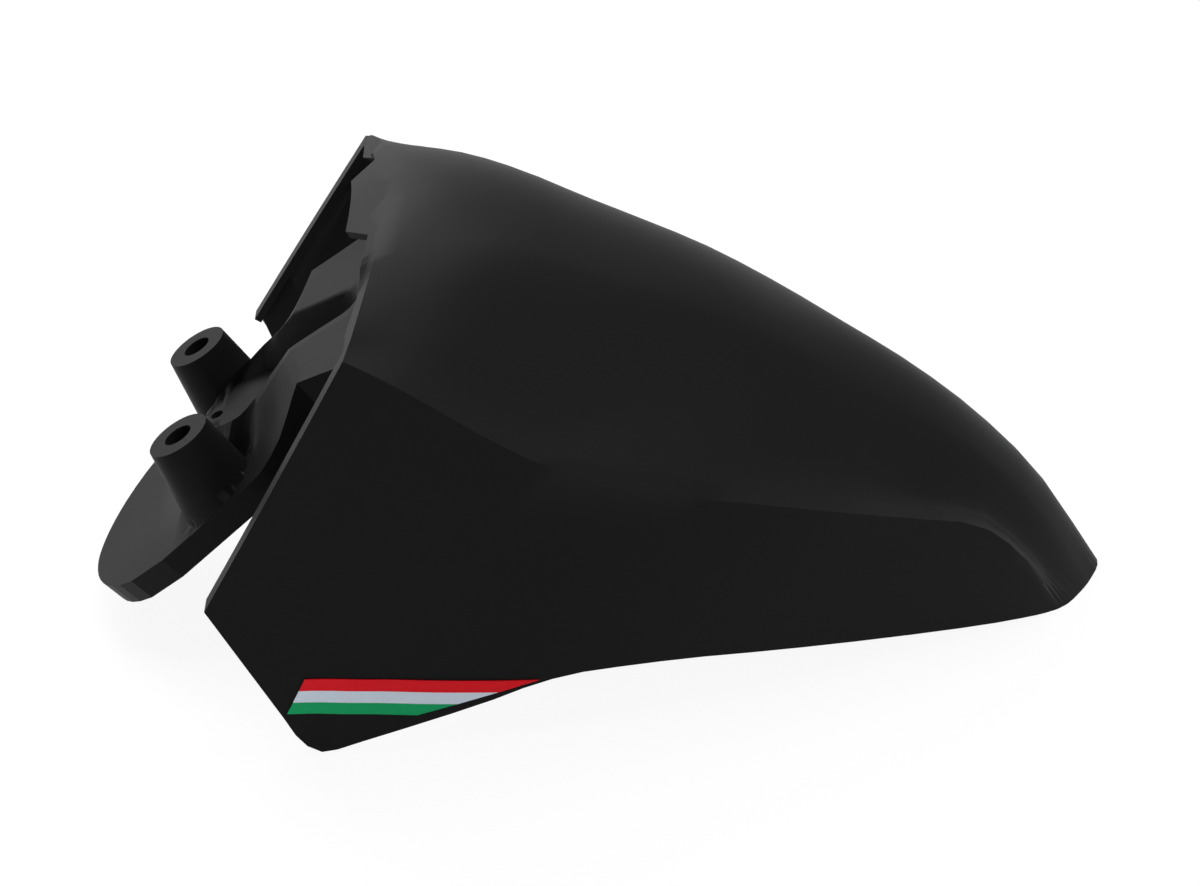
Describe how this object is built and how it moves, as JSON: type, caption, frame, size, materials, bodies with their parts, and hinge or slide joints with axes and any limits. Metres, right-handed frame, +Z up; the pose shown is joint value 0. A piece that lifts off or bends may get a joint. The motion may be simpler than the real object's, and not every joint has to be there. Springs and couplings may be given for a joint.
{
  "type": "motorcycle front fender",
  "caption": "One-piece moulded front fender with creased flanks, a return lip and a moulded-in mounting tray with two bored bosses.",
  "frame": {"origin": "centre of the bounding box at the ground that the lower corners and the nose rest on", "axes": "+X to the nose, +Y to the left side, +Z up"},
  "size_m": [0.3948, 0.222, 0.174],
  "materials": {
    "black_plastic": "fine moulded grain, unpainted black",
    "decal_film": "printed film with red, white and green stripes"
  },
  "bodies": {
    "root": {"fender_moulding": "black_plastic", "tricolour_decal": "decal_film"}
  },
  "joints": []
}
